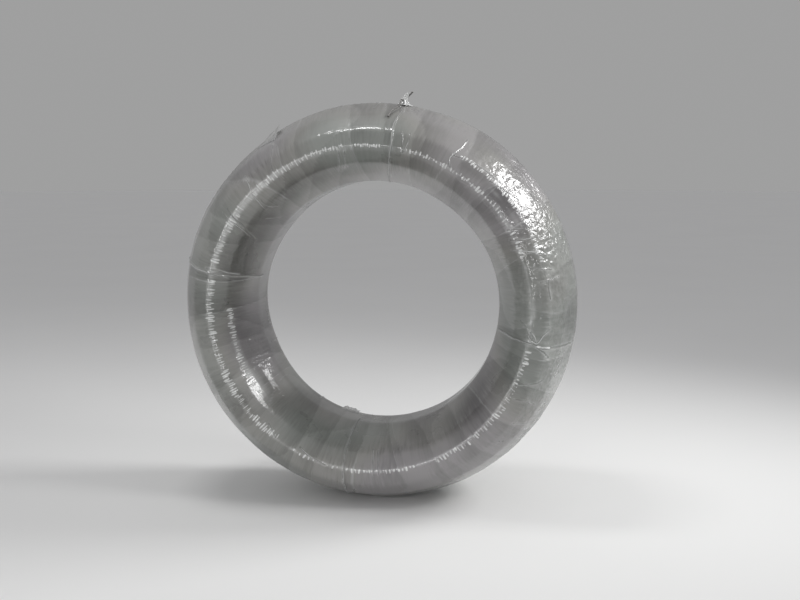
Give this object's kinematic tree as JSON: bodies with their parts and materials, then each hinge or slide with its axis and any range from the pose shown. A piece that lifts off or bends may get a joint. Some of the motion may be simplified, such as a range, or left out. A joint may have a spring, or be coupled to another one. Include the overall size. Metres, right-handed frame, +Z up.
{
  "type": "coil of wire rod",
  "caption": "Ring-shaped coil of steel wire rod, cross-tied with twisted wire and wound all over in clear stretch film, standing on its rim.",
  "frame": {"origin": "on the floor, under the middle of the coil", "axes": "+Z up; the coil's axis runs along Y, with its front towards -Y"},
  "size_m": [1, 0.37, 1.03],
  "materials": {
    "wire": "drawn steel wire, dull grey",
    "film": "clear stretch film in several turns, milky, glossy and creased",
    "tie_wire": "dark annealed binding wire"
  },
  "bodies": {
    "root": {"wire_bundle": "wire", "film_wrap": "film", "tie_wire_top": "tie_wire", "tie_wire_left": "tie_wire", "tie_wire_bottom": "tie_wire", "tie_wire_right": "tie_wire"}
  },
  "joints": []
}
